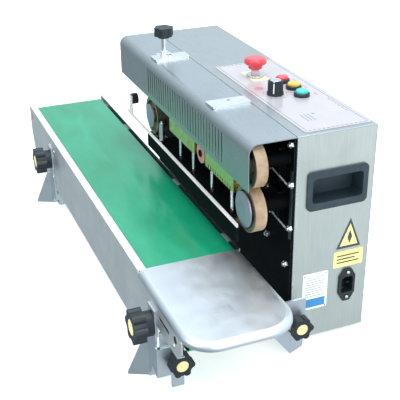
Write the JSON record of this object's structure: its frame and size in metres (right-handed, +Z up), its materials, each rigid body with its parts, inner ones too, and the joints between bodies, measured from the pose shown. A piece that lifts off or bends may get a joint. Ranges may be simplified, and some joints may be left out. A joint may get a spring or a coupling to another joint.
{
  "type": "continuous band sealer",
  "caption": "Bench-top continuous band sealer with a hooded sealing head, belt conveyor on an adjustable stand, control panel and turning wheels, rollers and knobs.",
  "frame": {"origin": "middle of the footprint, on the bench the machine stands on", "axes": "+X along the machine towards the outfeed end, +Y to the rear (cabinet side), +Z up"},
  "size_m": [0.8306, 0.333, 0.345],
  "materials": {
    "steel": "brushed",
    "hood_steel": "brushed, cool grey",
    "black_paint": "satin",
    "dark_steel": "oiled steel",
    "zinc": "bright zinc",
    "chrome": "polished",
    "black_plastic": "moulded",
    "panel_film": "printed film",
    "estop_yellow": "gloss",
    "red_plastic": "gloss",
    "yellow_plastic": "gloss",
    "green_plastic": "gloss",
    "rubber": "moulded",
    "wheel_tan": "machined",
    "ptfe_band": "coated glass cloth",
    "brass": "machined",
    "block_aluminium": "machined",
    "aluminium": "machined",
    "silicone": "knurled",
    "rail_white": "satin",
    "motor_grey": "satin",
    "circuit_green": "solder mask",
    "belt_green": "smooth belt, slight sheen",
    "plate_steel": "polished"
  },
  "bodies": {
    "cabinet": {"cabinet_cover": "steel", "end_panels": "steel", "bottom_plate": "steel", "rubber_feet": "rubber", "base_plate": "black_paint", "plate_bolts": "zinc", "carry_handles": "black_plastic", "power_inlet": "black_plastic", "panel_plate": "panel_film", "estop_base": "aluminium", "button_bezels": "black_plastic", "hood": "hood_steel", "hood_plates": "zinc", "shaft_bushes": "brass", "wheel_pins": "black_paint", "seal_bands": "ptfe_band", "heating_blocks": "brass", "cooling_blocks": "block_aluminium", "block_arms": "dark_steel", "guide_rail": "rail_white", "rail_supports": "zinc", "plate_brackets": "black_paint", "gearbox": "aluminium", "drive_motor": "motor_grey", "fan_frame": "black_plastic", "control_board": "circuit_green", "cross_rails": "steel"},
    "upper_drive": {"upper_drive_wheel": "wheel_tan", "upper_gear_shaft": "dark_steel"},
    "lower_drive": {"lower_drive_wheel": "wheel_tan", "lower_gear_shaft": "dark_steel", "infeed_disc": "chrome"},
    "upper_idle": {"upper_idle_wheel": "wheel_tan"},
    "lower_idle": {"lower_idle_wheel": "wheel_tan", "outfeed_disc": "chrome"},
    "upper_press": {"upper_press_roller": "silicone"},
    "lower_press": {"lower_press_roller": "silicone"},
    "infeed_roller": {"infeed_roller": "aluminium"},
    "rail_roller": {"rail_roller": "black_plastic"},
    "fan": {"fan_rotor": "black_plastic"},
    "estop": {"estop_button": "red_plastic"},
    "speed_dial": {"speed_knob": "black_plastic"},
    "red_push": {"red_button": "red_plastic"},
    "yellow_push": {"yellow_button": "yellow_plastic"},
    "green_push": {"green_button": "green_plastic"},
    "pressure": {"pressure_screw": "chrome", "pressure_knob": "black_plastic"},
    "legs": {"leg_near": "plate_steel", "leg_far": "plate_steel"},
    "conveyor": {"conveyor_skirt": "steel", "conveyor_rail": "steel", "belt_bed": "steel", "end_plate": "plate_steel", "conveyor_belt": "belt_green"},
    "conveyor_drive": {"conveyor_drive_roller": "rubber"},
    "conveyor_tail": {"conveyor_tail_roller": "aluminium"},
    "side_knob_near": {"star_knob_side_near": "black_plastic"},
    "side_knob_far": {"star_knob_side_far": "black_plastic"},
    "end_knob_outer": {"star_knob_end_outer": "black_plastic"},
    "end_knob_inner": {"star_knob_end_inner": "black_plastic"}
  },
  "joints": [
    {"name": "lower_drive_spin", "type": "hinge", "parent": "cabinet", "child": "lower_drive", "pos_m": [-0.09125, 0.0047, 0.207], "axis": [0, 1, 0], "continuous": true},
    {"name": "upper_drive_spin", "type": "hinge", "parent": "cabinet", "child": "upper_drive", "pos_m": [-0.09125, 0.0047, 0.267], "axis": [0, 1, 0], "continuous": true},
    {"name": "upper_idle_spin", "type": "hinge", "parent": "cabinet", "child": "upper_idle", "pos_m": [0.26075, 0.0047, 0.267], "axis": [0, 1, 0], "continuous": true},
    {"name": "lower_idle_spin", "type": "hinge", "parent": "cabinet", "child": "lower_idle", "pos_m": [0.26075, 0.0047, 0.207], "axis": [0, 1, 0], "continuous": true},
    {"name": "upper_press_spin", "type": "hinge", "parent": "cabinet", "child": "upper_press", "pos_m": [0.11175, 0.0047, 0.2518], "axis": [0, 1, 0], "continuous": true},
    {"name": "lower_press_spin", "type": "hinge", "parent": "cabinet", "child": "lower_press", "pos_m": [0.11175, 0.0047, 0.2222], "axis": [0, 1, 0], "continuous": true},
    {"name": "infeed_roller_spin", "type": "hinge", "parent": "cabinet", "child": "infeed_roller", "pos_m": [-0.03525, -0.0065, 0.2], "axis": [0, 0, 1], "continuous": true},
    {"name": "rail_roller_spin", "type": "hinge", "parent": "cabinet", "child": "rail_roller", "pos_m": [-0.17225, -0.005, 0.209], "axis": [0, 1, 0], "continuous": true},
    {"name": "fan_spin", "type": "hinge", "parent": "cabinet", "child": "fan", "pos_m": [0.17675, 0.063, 0.246], "axis": [0, 1, 0], "continuous": true},
    {"name": "estop_press", "type": "slide", "parent": "cabinet", "child": "estop", "axis": [0, 0, -1], "range_m": [0, 0.004], "stiffness_N_per_m": 900},
    {"name": "red_button_press", "type": "slide", "parent": "cabinet", "child": "red_push", "axis": [0, 0, -1], "range_m": [0, 0.003], "stiffness_N_per_m": 250},
    {"name": "yellow_button_press", "type": "slide", "parent": "cabinet", "child": "yellow_push", "axis": [0, 0, -1], "range_m": [0, 0.003], "stiffness_N_per_m": 250},
    {"name": "green_button_press", "type": "slide", "parent": "cabinet", "child": "green_push", "axis": [0, 0, -1], "range_m": [0, 0.003], "stiffness_N_per_m": 250},
    {"name": "speed_dial_turn", "type": "hinge", "parent": "cabinet", "child": "speed_dial", "pos_m": [0.13575, 0.097, 0.305], "axis": [0, 0, -1], "range_deg": [0, 270]},
    {"name": "pressure_turn", "type": "hinge", "parent": "cabinet", "child": "pressure", "pos_m": [-0.09225, 0.021, 0.32], "axis": [0, 0, -1], "range_deg": [-360, 360]},
    {"name": "conveyor_reach", "type": "slide", "parent": "cabinet", "child": "legs", "axis": [0, -1, 0], "range_m": [0, 0.015]},
    {"name": "conveyor_height", "type": "slide", "parent": "legs", "child": "conveyor", "axis": [0, 0, 1], "range_m": [-0.008, 0.015]},
    {"name": "conveyor_drive_spin", "type": "hinge", "parent": "conveyor", "child": "conveyor_drive", "pos_m": [0.36525, -0.065, 0.1172], "axis": [0, 1, 0], "continuous": true},
    {"name": "conveyor_tail_spin", "type": "hinge", "parent": "conveyor", "child": "conveyor_tail", "pos_m": [-0.39675, -0.065, 0.1172], "axis": [0, 1, 0], "continuous": true},
    {"name": "side_knob_near_turn", "type": "hinge", "parent": "conveyor", "child": "side_knob_near", "pos_m": [0.28875, -0.15, 0.093], "axis": [0, -1, 0], "range_deg": [0, 360]},
    {"name": "side_knob_far_turn", "type": "hinge", "parent": "conveyor", "child": "side_knob_far", "pos_m": [-0.24725, -0.15, 0.093], "axis": [0, -1, 0], "range_deg": [0, 360]},
    {"name": "end_knob_outer_turn", "type": "hinge", "parent": "legs", "child": "end_knob_outer", "pos_m": [0.31075, -0.113, 0.0425], "axis": [1, 0, 0], "range_deg": [0, 360]},
    {"name": "end_knob_inner_turn", "type": "hinge", "parent": "cabinet", "child": "end_knob_inner", "pos_m": [0.31075, 0.052, 0.0495], "axis": [1, 0, 0], "range_deg": [0, 360]}
  ],
  "couplings": [
    {"joint": "upper_drive_spin", "follows": "lower_drive_spin", "ratio": -1},
    {"joint": "upper_idle_spin", "follows": "lower_drive_spin", "ratio": -1},
    {"joint": "lower_idle_spin", "follows": "lower_drive_spin", "ratio": 1},
    {"joint": "upper_press_spin", "follows": "lower_drive_spin", "ratio": -2.0629},
    {"joint": "lower_press_spin", "follows": "lower_drive_spin", "ratio": 2.0629},
    {"joint": "conveyor_drive_spin", "follows": "lower_drive_spin", "ratio": 2.0345},
    {"joint": "conveyor_tail_spin", "follows": "lower_drive_spin", "ratio": 2.0345}
  ]
}
